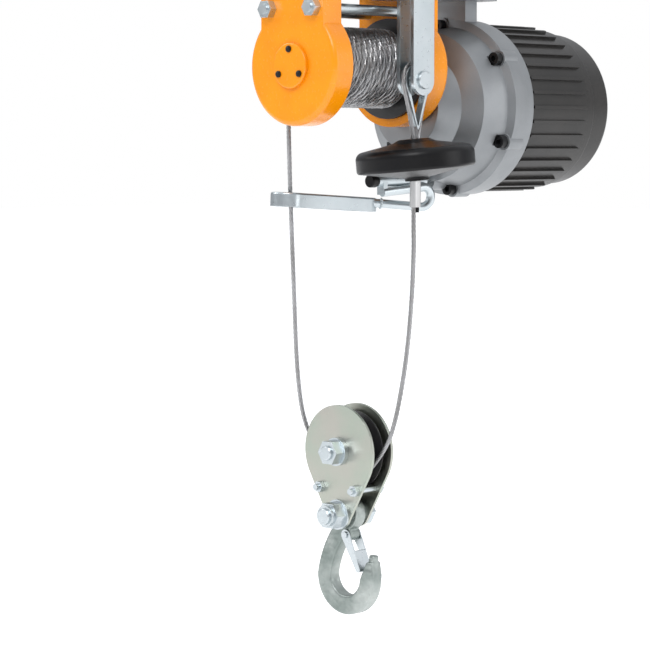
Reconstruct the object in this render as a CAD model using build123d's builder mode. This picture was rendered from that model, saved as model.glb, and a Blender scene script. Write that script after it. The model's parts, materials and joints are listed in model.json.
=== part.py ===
from build123d import *
from math import atan2, cos, degrees, pi, radians, sin, sqrt, tan
import os

# Electric wire rope hoist. X runs along the drum towards the motor, Y to the back, Z up.
# The origin is the middle of the four hanger holes, on the top face of the hanger plate.

# ---- Driving dimensions, in millimetres -------------------------------------------------
# Hanger plate and its holes
PLATE_LEFT = -146.0
PLATE_RIGHT = 108.0
PLATE_WIDTH = 90.0
PLATE_THICK = 6.0
HANGER_SPACING_X = 180.0
HANGER_SPACING_Y = 60.0
HANGER_HOLE_D = 11.0

# Drum, cheeks and rope
DRUM_DROP = 77.0
ROPE_D = 4.5
ROPE_LAY_R = 37.5
COIL_PITCH = 4.6
DRUM_WALL = 5.0
DRUM_FLANGE_R = 50.0
DRUM_FLANGE_THICK = 3.4
CHEEK_R = 58.0
CHEEK_THICK = 25.0
CHEEK_GAP = 114.0
CHEEK_LEFT = -150.0
CHEEK_WALL = 8.0
CHEEK_HUB_R = 23.0
CHEEK_PAD_WIDTH = 84.0
DRUM_SHAFT_R = 7.5
TIE_ROD_R = 5.0
TIE_ROD_Y = 30.0
TIE_ROD_DROP = 22.0

# Bearings as bore radius, outer radius, width
LARGE_BEARING = (7.5, 16.0, 9.0)
SMALL_BEARING = (6.0, 14.0, 8.0)

# Gearcase, all about the motor axis
MOTOR_AXIS_DROP = 114.4
GEARCASE_LENGTH = 83.0
GEARCASE_RADII = ((0.0, 43.0), (23.0, 54.0), (32.0, 76.0), (62.0, 82.0))
GEARCASE_FLANGE_R = 90.0
GEARCASE_FLANGE_THICK = 18.0
GEARCASE_CAVITY_R = 75.0
GEARCASE_FRONT_WALL = 44.0
GEARCASE_NECK_R = 37.0
GEARCASE_NECK_WALL = 5.0
COVER_THICK = 10.0
CASE_BOLTS = 6
CASE_BOLT_R = 84.0
CASE_BOLT_FIRST = -95.0
CASE_BOLT_THREAD_R = 4.0
CASE_BOLT_BOSS_R = 8.5

# Gear train
PRESSURE_ANGLE = 25.0
ADDENDUM = 0.8
DEDENDUM = 1.1
BACKLASH = 0.12
DRUM_GEAR_TEETH = 56
LAY_PINION_TEETH = 14
SLOW_MODULE = 1.25
SLOW_WIDTH = 14.0
LAY_GEAR_TEETH = 60
ROTOR_PINION_TEETH = 12
FAST_MODULE = 1.0
FAST_WIDTH = 10.0

# Motor
MOTOR_R = 84.0
MOTOR_BORE_R = 72.0
MOTOR_LENGTH = 98.0
MOTOR_RIBS = 36
RIB_HEIGHT = 3.0
STATOR_LENGTH = 50.0
STATOR_BORE_R = 46.0
AIR_GAP = 0.6
WINDING_LENGTH = 14.0
END_COVER_THICK = 10.0
COWL_R = 80.0
COWL_LENGTH = 31.0
COWL_WALL = 2.0
FAN_R = 62.0
FAN_BLADES = 8
BRAKE_R = 42.0
BRAKE_TRAVEL = 0.5

# Control box at the back of the motor
BOX_LENGTH = 90.0
BOX_HEIGHT = 70.0
BOX_BACK = 122.0
BOX_FRONT = 76.0
BOX_WALL = 3.0
LID_THICK = 4.0

# Limit lever, its pivot and the switch
PIVOT_DROP = 189.0
PIVOT_R = 4.0
LEVER_TUBE_R = 6.0
LEVER_ROD_R = 4.5
RUNNING_GAP = 0.06
GUIDE_LENGTH = 138.0
GUIDE_WIDTH = 34.0
GUIDE_DEPTH = 14.0
GUIDE_WALL = 2.5
GUIDE_SLOT_LENGTH = 114.0
GUIDE_SLOT_WIDTH = 15.0
GUIDE_TILT = 3.5
PLUNGER_R = 2.5

# Rope end at the front: bracket, thimble, stop disc and ferrule
ANCHOR_X = -42.0
ANCHOR_Y = -63.0
ANCHOR_PIN_R = 6.0
EAR_THICK = 4.0
EAR_GAP = 14.0
EYE_R = 17.5
DISC_R = 58.5
DISC_RIM = 20.0
DISC_TILT = 5.3
FERRULE_LENGTH = 26.0
FERRULE_WIDTH = 12.2
FERRULE_THICK = 7.7

# Bottom block, sheave and hook
BLOCK_X = -80.0
BLOCK_Y = -9.5
BLOCK_DROP = 455.0
SIDE_PLATE_THICK = 3.0
SIDE_PLATE_HALF_GAP = 12.0
SIDE_PLATE_TOP_R = 46.0
SIDE_PLATE_BOTTOM_R = 15.0
BOLT_DISTANCE = 62.6
SHEAVE_R = 39.5
SHEAVE_LAY_R = 32.0
SHEAVE_HALF_WIDTH = 11.5
AXLE_R = 7.0
HOOK_BOLT_R = 8.0
GUARD_PIN_R = 3.0
GUARD_PIN_Y = 23.5
GUARD_PIN_DROP = 37.0
HOOK_THICK = 14.0
HOOK_EYE_R = 17.0
LATCH_WALL = 1.1
LATCH_PIN_R = 2.0
CLEAR = 0.3

# ---- Places worked out from the dimensions above ----------------------------------------
ROPE_R = ROPE_D / 2
DRUM_Z = -DRUM_DROP
MOTOR_Z = -MOTOR_AXIS_DROP
PIVOT_Z = -PIVOT_DROP
BLOCK_Z = -BLOCK_DROP
HOOK_Z = BLOCK_Z - BOLT_DISTANCE
LEFT_INNER = CHEEK_LEFT + CHEEK_THICK
RIGHT_INNER = LEFT_INNER + CHEEK_GAP
CASE_START = RIGHT_INNER + CHEEK_THICK
CASE_END = CASE_START + GEARCASE_LENGTH
COVER_END = CASE_END + COVER_THICK
MOTOR_END = COVER_END + MOTOR_LENGTH
END_COVER_END = MOTOR_END + END_COVER_THICK
COWL_END = END_COVER_END + COWL_LENGTH
FLANGE_START = CASE_END - GEARCASE_FLANGE_THICK
CAVITY_START = CASE_START + GEARCASE_FRONT_WALL
SLOW_START = CAVITY_START + 6
FAST_START = SLOW_START + SLOW_WIDTH + 4
STATOR_START = COVER_END + 20
STATOR_END = STATOR_START + STATOR_LENGTH
BARREL_R = ROPE_LAY_R - ROPE_R

# The layshaft stands where both gear pairs are in mesh.
SLOW_CENTRES = SLOW_MODULE * (DRUM_GEAR_TEETH + LAY_PINION_TEETH) / 2
FAST_CENTRES = FAST_MODULE * (LAY_GEAR_TEETH + ROTOR_PINION_TEETH) / 2
AXIS_RISE = DRUM_Z - MOTOR_Z
LAY_RISE = (AXIS_RISE**2 + FAST_CENTRES**2 - SLOW_CENTRES**2) / (2 * AXIS_RISE)
LAY_Y = sqrt(FAST_CENTRES**2 - LAY_RISE**2)
LAY_Z = MOTOR_Z + LAY_RISE


def across(x, y=0.0, z=0.0):
    """The plane square to X at (x, y, z): sketch x is Y, sketch y is Z, and it extrudes to +X."""
    return Plane(origin=(x, y, z), x_dir=(0, 1, 0), z_dir=(1, 0, 0))


def lathe_plane(y, z):
    """The plane for a profile turned about the X axis at (y, z): sketch x is X, sketch y is the radius."""
    return Plane(origin=(0, y, z), x_dir=(1, 0, 0), z_dir=(0, -1, 0))


def lathe(points, y, z, mode=Mode.ADD):
    """Turns a closed profile of (x, radius) points about the X axis at (y, z)."""
    with BuildSketch(lathe_plane(y, z)) as profile:
        with BuildLine():
            Polyline(*points, close=True)
        make_face()
    revolve(profile.sketch, axis=Axis((0, y, z), (1, 0, 0)), mode=mode)


def ring(plane, length, outer, inner=0.0, mode=Mode.ADD):
    """A round bar, or a tube when inner is given, from a plane."""
    with BuildSketch(plane) as section:
        Circle(outer)
        if inner:
            Circle(inner, mode=Mode.SUBTRACT)
    extrude(section.sketch, amount=length, mode=mode)


def bar(corner, opposite, mode=Mode.ADD):
    """A block between two opposite corners."""
    sizes = [b - a for a, b in zip(corner, opposite)]
    middle = [(a + b) / 2 for a, b in zip(corner, opposite)]
    with Locations(tuple(middle)):
        Box(*sizes, mode=mode)


def cap_screw(plane, shank_r, shank, head_r, head):
    """A socket head screw: the head stands up from the plane, the shank goes down."""
    ring(plane, head, head_r)
    ring(plane.offset(-shank), shank, shank_r)
    with BuildSketch(plane.offset(head)) as socket:
        RegularPolygon(shank_r * 0.85, 6)
    extrude(socket.sketch, amount=-head * 0.55, mode=Mode.SUBTRACT)


def hex_prism(plane, length, flats, bore, crown=0.0):
    """A hexagon nut with a bore, and a round crown when it is a lock nut."""
    with BuildSketch(plane) as section:
        RegularPolygon(flats / 2, 6, major_radius=False)
        Circle(bore, mode=Mode.SUBTRACT)
    extrude(section.sketch, amount=length)
    if crown:
        ring(plane.offset(length), crown, flats * 0.44, bore)


def involute(radius, base_r):
    """How far an involute from the base circle has turned where it reaches a radius, in radians."""
    roll = sqrt(max(0.0, (radius / base_r) ** 2 - 1))
    return roll - atan2(roll, 1)


def gear_outline(teeth, module, turn):
    """The corner points of an involute gear with one tooth centred at the angle turn, in degrees."""
    pitch_r = module * teeth / 2
    base_r = pitch_r * cos(radians(PRESSURE_ANGLE))
    tip_r = pitch_r + ADDENDUM * module
    root_r = pitch_r - DEDENDUM * module
    start_r = max(base_r, root_r)
    half_tooth = pi / (2 * teeth) - BACKLASH / (2 * pitch_r) + involute(pitch_r, base_r)
    steps = 5
    radii = [start_r + (tip_r - start_r) * i / steps for i in range(steps + 1)]
    flank = [(root_r, half_tooth - involute(start_r, base_r))] if root_r < start_r else []
    flank += [(r, half_tooth - involute(r, base_r)) for r in radii]
    outline = []
    for tooth in range(teeth):
        middle = radians(turn) + 2 * pi * tooth / teeth
        outline += [(r * cos(middle - a), r * sin(middle - a)) for r, a in flank]
        outline += [(r * cos(middle + a), r * sin(middle + a)) for r, a in reversed(flank)]
    return outline


def gear(plane, width, teeth, module, turn):
    """A spur gear blank with its teeth cut."""
    with BuildSketch(plane) as blank:
        with BuildLine():
            Polyline(*gear_outline(teeth, module, turn), close=True)
        make_face()
    extrude(blank.sketch, amount=width)


pieces = {}

# ---- Hanger plate -----------------------------------------------------------------------
PLATE_MIDDLE = (PLATE_LEFT + PLATE_RIGHT) / 2
SCREW_X = (CHEEK_LEFT + CHEEK_THICK / 2, RIGHT_INNER + CHEEK_THICK / 2)
SCREW_Y = 24.0
SCREW_R = 4.0
SCREW_THREAD_DEPTH = 24.0
SCREW_SPOTS = [(x, y) for x in SCREW_X for y in (-SCREW_Y, SCREW_Y)]

with BuildPart() as hanger_plate:
    with BuildSketch(Plane.XY.offset(-PLATE_THICK)):
        with Locations((PLATE_MIDDLE, 0)):
            RectangleRounded(PLATE_RIGHT - PLATE_LEFT, PLATE_WIDTH, 10)
        with GridLocations(HANGER_SPACING_X, HANGER_SPACING_Y, 2, 2):
            Circle(HANGER_HOLE_D / 2, mode=Mode.SUBTRACT)
    extrude(amount=PLATE_THICK)
    with Locations(*[(x, y, 0) for x, y in SCREW_SPOTS]):
        CounterSinkHole(SCREW_R, 2 * SCREW_R)
pieces["hanger_plate"] = hanger_plate

with BuildPart() as plate_screws:
    for x, y in SCREW_SPOTS:
        with Locations((x, y, -SCREW_R / 2)):
            Cone(SCREW_R, 2 * SCREW_R, SCREW_R)
        ring(Plane(origin=(x, y, -SCREW_R), z_dir=(0, 0, -1)), 10, SCREW_R)
pieces["plate_screws"] = plate_screws


# ---- Cheeks, tie rods and bearings ------------------------------------------------------
def cheek(start, outward):
    """One end cheek: a thick round casting with a pad up to the plate, rounded on its outward side."""
    pad = DRUM_DROP - PLATE_THICK
    inner = start + CHEEK_THICK if outward < 0 else start
    hub_depth = CHEEK_THICK - CHEEK_WALL
    away = Plane(origin=(inner, 0, DRUM_Z), x_dir=(0, 1, 0), z_dir=(outward, 0, 0))
    with BuildSketch(across(start, 0, DRUM_Z)) as outline:
        Circle(CHEEK_R)
        with Locations((0, pad / 2)):
            Rectangle(CHEEK_PAD_WIDTH, pad)
    extrude(outline.sketch, amount=CHEEK_THICK)
    rim = faces().sort_by(Axis.X)[0 if outward < 0 else -1]
    fillet(rim.edges().filter_by(GeomType.CIRCLE), 5)
    ring(away, hub_depth, CHEEK_R - CHEEK_WALL, CHEEK_HUB_R, mode=Mode.SUBTRACT)
    ring(away, LARGE_BEARING[2] + 3, LARGE_BEARING[1], mode=Mode.SUBTRACT)
    ring(away, CHEEK_THICK, DRUM_SHAFT_R + 2, mode=Mode.SUBTRACT)
    for y in (-TIE_ROD_Y, TIE_ROD_Y):
        ring(across(start, y, -TIE_ROD_DROP), CHEEK_THICK, TIE_ROD_R, mode=Mode.SUBTRACT)
    for y in (-SCREW_Y, SCREW_Y):
        thread = Plane(origin=(start + CHEEK_THICK / 2, y, 0), z_dir=(0, 0, -1))
        ring(thread, SCREW_THREAD_DEPTH, SCREW_R, mode=Mode.SUBTRACT)


with BuildPart() as left_cheek:
    cheek(CHEEK_LEFT, -1)
pieces["left_cheek"] = left_cheek
with BuildPart() as right_cheek:
    cheek(RIGHT_INNER, 1)
pieces["right_cheek"] = right_cheek

with BuildPart() as bearing_cap:
    ring(across(CHEEK_LEFT - 4, 0, DRUM_Z), 4, 22)
    fillet(bearing_cap.faces().sort_by(Axis.X)[0].edges(), 1.5)
    ring(across(CHEEK_LEFT, 0, DRUM_Z), CHEEK_WALL - 3, DRUM_SHAFT_R + 2)
pieces["bearing_cap"] = bearing_cap

with BuildPart() as tie_rods:
    for y in (-TIE_ROD_Y, TIE_ROD_Y):
        ring(across(CHEEK_LEFT - 10, y, -TIE_ROD_DROP), CASE_START - CHEEK_LEFT + 10, TIE_ROD_R)
        hex_prism(across(CHEEK_LEFT - 8, y, -TIE_ROD_DROP), 8, 16, TIE_ROD_R - 1)
pieces["tie_rods"] = tie_rods


def bearing(x, y, z, sizes):
    """A ball bearing as inner race, outer race and the ball track between them."""
    shaft, outer, width = sizes
    bore = shaft + RUNNING_GAP
    middle = (bore + outer) / 2
    lathe(
        [
            (x, bore), (x + width, bore), (x + width, middle - 1.5), (x + width - 1, middle - 1.5),
            (x + width - 1, middle + 1.5), (x + width, middle + 1.5), (x + width, outer), (x, outer),
            (x, middle + 1.5), (x + 1, middle + 1.5), (x + 1, middle - 1.5), (x, middle - 1.5),
        ],
        y,
        z,
    )


with BuildPart() as large_bearings:
    bearing(LEFT_INNER - LARGE_BEARING[2] - 3, 0, DRUM_Z, LARGE_BEARING)
    bearing(RIGHT_INNER + 3, 0, DRUM_Z, LARGE_BEARING)
    bearing(CAVITY_START - LARGE_BEARING[2], 0, DRUM_Z, LARGE_BEARING)
    bearing(COVER_END - LARGE_BEARING[2], 0, MOTOR_Z, LARGE_BEARING)
    bearing(MOTOR_END, 0, MOTOR_Z, LARGE_BEARING)
pieces["large_bearings"] = large_bearings

# ---- Drum -------------------------------------------------------------------------------
DRUM_START = LEFT_INNER + 1
DRUM_END = RIGHT_INNER - 1
COIL_FIRST = LEFT_INNER + 1 + DRUM_FLANGE_THICK + 2.6
FALL_X = COIL_FIRST
with BuildPart() as drum:
    lathe(
        [
            (DRUM_START, DRUM_SHAFT_R),
            (DRUM_START, DRUM_FLANGE_R),
            (DRUM_START + DRUM_FLANGE_THICK, DRUM_FLANGE_R),
            (DRUM_START + DRUM_FLANGE_THICK, BARREL_R),
            (DRUM_END - DRUM_FLANGE_THICK, BARREL_R),
            (DRUM_END - DRUM_FLANGE_THICK, DRUM_FLANGE_R),
            (DRUM_END, DRUM_FLANGE_R),
            (DRUM_END, DRUM_SHAFT_R),
        ],
        0,
        DRUM_Z,
    )
    with BuildSketch(across(DRUM_START + 8, 0, DRUM_Z)):
        Circle(BARREL_R - DRUM_WALL)
        Circle(DRUM_SHAFT_R + 5, mode=Mode.SUBTRACT)
    extrude(amount=DRUM_END - DRUM_START - 8, mode=Mode.SUBTRACT)
pieces["drum"] = drum

COIL_START = COIL_FIRST + COIL_PITCH
COIL_TURNS = int((DRUM_END - DRUM_FLANGE_THICK - ROPE_R - COIL_START) / COIL_PITCH)
with BuildPart() as drum_rope:
    coil_length = (COIL_TURNS - 1) * COIL_PITCH
    with BuildSketch(lathe_plane(0, DRUM_Z)):
        with Locations((COIL_START + coil_length / 2, BARREL_R + ROPE_R / 2)):
            Rectangle(coil_length, ROPE_R)
        for turn in range(COIL_TURNS):
            with Locations((COIL_START + turn * COIL_PITCH, ROPE_LAY_R)):
                Circle(ROPE_R)
    revolve(axis=Axis((0, 0, DRUM_Z), (1, 0, 0)))
pieces["drum_rope"] = drum_rope

with BuildPart() as drum_shaft:
    shaft_start = LEFT_INNER - LARGE_BEARING[2] - 5
    ring(across(shaft_start, 0, DRUM_Z), SLOW_START + SLOW_WIDTH + 1.5 - shaft_start, DRUM_SHAFT_R)
    chamfer(drum_shaft.edges().filter_by(GeomType.CIRCLE), 0.8)
pieces["drum_shaft"] = drum_shaft

# ---- Gears ------------------------------------------------------------------------------
TO_LAYSHAFT = degrees(atan2(LAY_Z - DRUM_Z, LAY_Y))
TO_ROTOR = degrees(atan2(MOTOR_Z - LAY_Z, -LAY_Y))
with BuildPart() as drum_gear:
    gear(across(SLOW_START, 0, DRUM_Z), SLOW_WIDTH, DRUM_GEAR_TEETH, SLOW_MODULE, TO_LAYSHAFT)
    ring(across(SLOW_START, 0, DRUM_Z), SLOW_WIDTH, DRUM_SHAFT_R, mode=Mode.SUBTRACT)
    with BuildSketch(across(SLOW_START, 0, DRUM_Z)):
        with PolarLocations(21, 6):
            Circle(6)
    extrude(amount=SLOW_WIDTH, mode=Mode.SUBTRACT)
pieces["drum_gear"] = drum_gear

LAYSHAFT_SEAT_R = 7.0
with BuildPart() as layshaft:
    start = CAVITY_START - SMALL_BEARING[2]
    ring(across(start, LAY_Y, LAY_Z), CASE_END + SMALL_BEARING[2] - start, SMALL_BEARING[0])
    ring(across(SLOW_START, LAY_Y, LAY_Z), CASE_END - 1.5 - SLOW_START, LAYSHAFT_SEAT_R)
    turn = TO_LAYSHAFT + 180 + 180 / LAY_PINION_TEETH
    gear(across(SLOW_START - 1, LAY_Y, LAY_Z), SLOW_WIDTH + 2, LAY_PINION_TEETH, SLOW_MODULE, turn)
pieces["layshaft"] = layshaft

with BuildPart() as layshaft_gear:
    gear(across(FAST_START, LAY_Y, LAY_Z), FAST_WIDTH, LAY_GEAR_TEETH, FAST_MODULE, TO_ROTOR)
    ring(across(FAST_START, LAY_Y, LAY_Z), FAST_WIDTH, LAYSHAFT_SEAT_R, mode=Mode.SUBTRACT)
    with BuildSketch(across(FAST_START, LAY_Y, LAY_Z)):
        with PolarLocations(18, 5):
            Circle(5)
    extrude(amount=FAST_WIDTH, mode=Mode.SUBTRACT)
pieces["layshaft_gear"] = layshaft_gear

with BuildPart() as layshaft_bearings:
    bearing(CAVITY_START - SMALL_BEARING[2], LAY_Y, LAY_Z, SMALL_BEARING)
    bearing(CASE_END, LAY_Y, LAY_Z, SMALL_BEARING)
pieces["layshaft_bearings"] = layshaft_bearings

ROTOR_SHAFT_END = END_COVER_END + 22
with BuildPart() as rotor_shaft:
    turn = TO_ROTOR + 180 + 180 / ROTOR_PINION_TEETH
    gear(across(FAST_START - 1, 0, MOTOR_Z), FAST_WIDTH + 6, ROTOR_PINION_TEETH, FAST_MODULE, turn)
    shoulder = FAST_START + FAST_WIDTH + 4
    ring(across(shoulder, 0, MOTOR_Z), ROTOR_SHAFT_END - shoulder, LARGE_BEARING[0])
pieces["rotor_shaft"] = rotor_shaft

# ---- Gearcase ---------------------------------------------------------------------------
CASE_BOLT_SPOTS = [
    (
        CASE_BOLT_R * cos(radians(CASE_BOLT_FIRST + 360 / CASE_BOLTS * i)),
        MOTOR_Z + CASE_BOLT_R * sin(radians(CASE_BOLT_FIRST + 360 / CASE_BOLTS * i)),
    )
    for i in range(CASE_BOLTS)
]
LUG_R = 10.0
LUG_START = CASE_START + 32
LUG_LENGTH = 20.0
CASE_LUG_WIDTH = 44.0
with BuildPart() as gearcase:
    steps = [(CASE_START + x, r) for x, r in GEARCASE_RADII]
    steps += [(FLANGE_START, GEARCASE_FLANGE_R), (CASE_END, GEARCASE_FLANGE_R)]
    lathe([(CASE_START, 0)] + steps + [(CASE_END, 0)], 0, MOTOR_Z)
    ring(across(CASE_START, 0, DRUM_Z), CAVITY_START - CASE_START, 24)
    ring(across(LUG_START, 0, PIVOT_Z), LUG_LENGTH, LUG_R)
    bar(
        (FLANGE_START, -CASE_LUG_WIDTH / 2, MOTOR_Z + CASE_BOLT_R - 6),
        (CASE_END, CASE_LUG_WIDTH / 2, -PLATE_THICK),
    )
    for y, z in CASE_BOLT_SPOTS:
        ring(across(FLANGE_START - 3, y, z), GEARCASE_FLANGE_THICK + 3, CASE_BOLT_BOSS_R)
    ring(across(CAVITY_START, 0, MOTOR_Z), CASE_END - CAVITY_START, GEARCASE_CAVITY_R, mode=Mode.SUBTRACT)
    neck_end = CAVITY_START - SMALL_BEARING[2] - 6
    with BuildSketch(across(CASE_START + GEARCASE_NECK_WALL, 0, MOTOR_Z)):
        Circle(GEARCASE_NECK_R)
        with Locations((0, DRUM_Z - MOTOR_Z)):
            Circle(24, mode=Mode.SUBTRACT)
    extrude(amount=neck_end - CASE_START - GEARCASE_NECK_WALL, mode=Mode.SUBTRACT)
    ring(across(CASE_START, 0, DRUM_Z), CAVITY_START - CASE_START, DRUM_SHAFT_R + 1.5, mode=Mode.SUBTRACT)
    seat = LARGE_BEARING[2]
    ring(across(CAVITY_START - seat, 0, DRUM_Z), seat, LARGE_BEARING[1], mode=Mode.SUBTRACT)
    seat = SMALL_BEARING[2]
    ring(across(CAVITY_START - seat, LAY_Y, LAY_Z), seat, SMALL_BEARING[1], mode=Mode.SUBTRACT)
    ring(across(LUG_START - 4, 0, PIVOT_Z), 18, PIVOT_R, mode=Mode.SUBTRACT)
    boss_length = GEARCASE_FLANGE_THICK + 3
    for y, z in CASE_BOLT_SPOTS:
        ring(across(FLANGE_START - 13, y, z), 10, 7, mode=Mode.SUBTRACT)
        ring(across(FLANGE_START - 3, y, z), boss_length, CASE_BOLT_THREAD_R, mode=Mode.SUBTRACT)
pieces["gearcase"] = gearcase

with BuildPart() as gearcase_cover:
    ring(across(CASE_END, 0, MOTOR_Z), COVER_THICK, GEARCASE_FLANGE_R)
    ring(across(CASE_END, 0, MOTOR_Z), COVER_THICK, DRUM_SHAFT_R + 2, mode=Mode.SUBTRACT)
    seat = LARGE_BEARING[2]
    ring(across(COVER_END - seat, 0, MOTOR_Z), seat, LARGE_BEARING[1], mode=Mode.SUBTRACT)
    ring(across(CASE_END, LAY_Y, LAY_Z), SMALL_BEARING[2], SMALL_BEARING[1], mode=Mode.SUBTRACT)
    for y, z in CASE_BOLT_SPOTS:
        ring(across(CASE_END, y, z), COVER_THICK, CASE_BOLT_THREAD_R, mode=Mode.SUBTRACT)
pieces["gearcase_cover"] = gearcase_cover

with BuildPart() as gearcase_bolts:
    for y, z in CASE_BOLT_SPOTS:
        head = Plane(origin=(FLANGE_START - 3, y, z), z_dir=(-1, 0, 0))
        cap_screw(head, CASE_BOLT_THREAD_R, GEARCASE_FLANGE_THICK + 3 + COVER_THICK, 6.4, 8)
pieces["gearcase_bolts"] = gearcase_bolts

# ---- Motor ------------------------------------------------------------------------------
with BuildPart() as motor_housing:
    ring(across(COVER_END, 0, MOTOR_Z), MOTOR_LENGTH, MOTOR_R, MOTOR_BORE_R)
    with BuildSketch(across(COVER_END + 6, 0, MOTOR_Z)):
        with PolarLocations(MOTOR_R + RIB_HEIGHT / 2 - 0.5, MOTOR_RIBS):
            Rectangle(RIB_HEIGHT + 1, 3)
    extrude(amount=MOTOR_LENGTH - 12)
pieces["motor_housing"] = motor_housing

with BuildPart() as stator_core:
    ring(across(STATOR_START, 0, MOTOR_Z), STATOR_LENGTH, MOTOR_BORE_R, STATOR_BORE_R)
pieces["stator_core"] = stator_core
with BuildPart() as windings:
    for start in (STATOR_START - WINDING_LENGTH, STATOR_END):
        ring(across(start, 0, MOTOR_Z), WINDING_LENGTH, MOTOR_BORE_R - 5, STATOR_BORE_R + 4)
    fillet(windings.edges().filter_by(GeomType.CIRCLE), 4)
pieces["windings"] = windings
with BuildPart() as rotor_core:
    ring(across(STATOR_START, 0, MOTOR_Z), STATOR_LENGTH, STATOR_BORE_R - AIR_GAP, LARGE_BEARING[0])
pieces["rotor_core"] = rotor_core

with BuildPart() as motor_end_cover:
    ring(across(MOTOR_END, 0, MOTOR_Z), END_COVER_THICK, MOTOR_R)
    fillet(motor_end_cover.faces().sort_by(Axis.X)[-1].edges(), 2)
    ring(across(MOTOR_END, 0, MOTOR_Z), LARGE_BEARING[2], LARGE_BEARING[1], mode=Mode.SUBTRACT)
    ring(across(MOTOR_END, 0, MOTOR_Z), END_COVER_THICK, LARGE_BEARING[0] + 2, mode=Mode.SUBTRACT)
pieces["motor_end_cover"] = motor_end_cover

COIL_LENGTH_BRAKE = 12.0
BRAKE_COIL_START = MOTOR_END - COIL_LENGTH_BRAKE
ARMATURE_START = BRAKE_COIL_START - BRAKE_TRAVEL - CLEAR - 5
with BuildPart() as brake_coil:
    ring(across(BRAKE_COIL_START, 0, MOTOR_Z), COIL_LENGTH_BRAKE, BRAKE_R, LARGE_BEARING[0] + 3)
pieces["brake_coil"] = brake_coil
with BuildPart() as brake_armature:
    ring(across(ARMATURE_START, 0, MOTOR_Z), 5, BRAKE_R, LARGE_BEARING[0] + 3)
pieces["brake_armature"] = brake_armature
with BuildPart() as brake_disc:
    ring(across(ARMATURE_START - CLEAR - 4, 0, MOTOR_Z), 4, BRAKE_R - 2, LARGE_BEARING[0])
pieces["brake_disc"] = brake_disc

with BuildPart() as cooling_fan:
    ring(across(END_COVER_END + 4, 0, MOTOR_Z), 16, 16, LARGE_BEARING[0])
    ring(across(END_COVER_END + 4, 0, MOTOR_Z), 2, FAN_R, LARGE_BEARING[0])
    with BuildSketch(across(END_COVER_END + 6, 0, MOTOR_Z)):
        with PolarLocations((FAN_R + 14) / 2, FAN_BLADES):
            Rectangle(FAN_R - 14, 2)
    extrude(amount=14)
pieces["cooling_fan"] = cooling_fan

with BuildPart() as fan_cowl:
    ring(across(END_COVER_END, 0, MOTOR_Z), COWL_LENGTH, COWL_R)
    fillet(fan_cowl.faces().sort_by(Axis.X)[-1].edges(), 6)
    ring(across(END_COVER_END, 0, MOTOR_Z), COWL_LENGTH - COWL_WALL, COWL_R - COWL_WALL, mode=Mode.SUBTRACT)
    with BuildSketch(across(COWL_END - COWL_WALL, 0, MOTOR_Z)):
        for radius, count in ((24, 8), (40, 12), (56, 18)):
            with PolarLocations(radius, count):
                SlotOverall(11, 4)
    extrude(amount=COWL_WALL, mode=Mode.SUBTRACT)
pieces["fan_cowl"] = fan_cowl

# ---- Control box ------------------------------------------------------------------------
BOX_X0 = COVER_END + 5
BOX_X1 = BOX_X0 + BOX_LENGTH
BOX_Z0 = MOTOR_Z - BOX_HEIGHT / 2
BOX_Z1 = MOTOR_Z + BOX_HEIGHT / 2
RIB_TOP_R = MOTOR_R + RIB_HEIGHT
GLAND_X = (BOX_X0 + 26, BOX_X0 + 64)
GLAND_Y = BOX_BACK - 15
GLAND_R = 8.0
BOX_SCREW_SPOTS = [(x, z) for x in (BOX_X0 + 6, BOX_X1 - 6) for z in (BOX_Z0 + 6, BOX_Z1 - 6)]
with BuildPart() as control_box:
    bar((BOX_X0, BOX_FRONT, BOX_Z0), (BOX_X1, BOX_BACK, BOX_Z1))
    fillet(control_box.edges().filter_by(Axis.Y), 5)
    bar(
        (BOX_X0 + BOX_WALL, RIB_TOP_R + BOX_WALL, BOX_Z0 + BOX_WALL),
        (BOX_X1 - BOX_WALL, BOX_BACK, BOX_Z1 - BOX_WALL),
        mode=Mode.SUBTRACT,
    )
    for x, z in BOX_SCREW_SPOTS:
        post = Plane(origin=(x, BOX_BACK, z), z_dir=(0, -1, 0))
        ring(post, 20, 4)
        ring(post, 12, 1.5, mode=Mode.SUBTRACT)
    ring(across(BOX_X0, 0, MOTOR_Z), BOX_LENGTH, RIB_TOP_R + 0.1, mode=Mode.SUBTRACT)
    for x in GLAND_X:
        ring(Plane.XY.offset(BOX_Z0).move(Location((x, GLAND_Y, 0))), BOX_WALL, 5, mode=Mode.SUBTRACT)
pieces["control_box"] = control_box

with BuildPart() as control_box_lid:
    bar((BOX_X0, BOX_BACK, BOX_Z0), (BOX_X1, BOX_BACK + LID_THICK, BOX_Z1))
    fillet(control_box_lid.edges().filter_by(Axis.Y), 5)
    fillet(control_box_lid.faces().sort_by(Axis.Y)[-1].edges(), 1.5)
    for x, z in BOX_SCREW_SPOTS:
        lid_top = Plane(origin=(x, BOX_BACK + LID_THICK, z), z_dir=(0, -1, 0))
        ring(lid_top, LID_THICK, 1.5, mode=Mode.SUBTRACT)
pieces["control_box_lid"] = control_box_lid
with BuildPart() as control_box_screws:
    for x, z in BOX_SCREW_SPOTS:
        lid_top = Plane(origin=(x, BOX_BACK + LID_THICK, z), z_dir=(0, 1, 0))
        cap_screw(lid_top, 1.5, 12, 2.8, 2)
pieces["control_box_screws"] = control_box_screws
with BuildPart() as cable_glands:
    for x in GLAND_X:
        below = Plane(origin=(x, GLAND_Y, BOX_Z0), z_dir=(0, 0, -1))
        hex_prism(below, 5, 2 * GLAND_R, 3.5)
        ring(below.offset(5), 9, GLAND_R - 1.2, 3.5)
        ring(below.offset(-6), 6, 5, 3.5)
pieces["cable_glands"] = cable_glands

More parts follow.
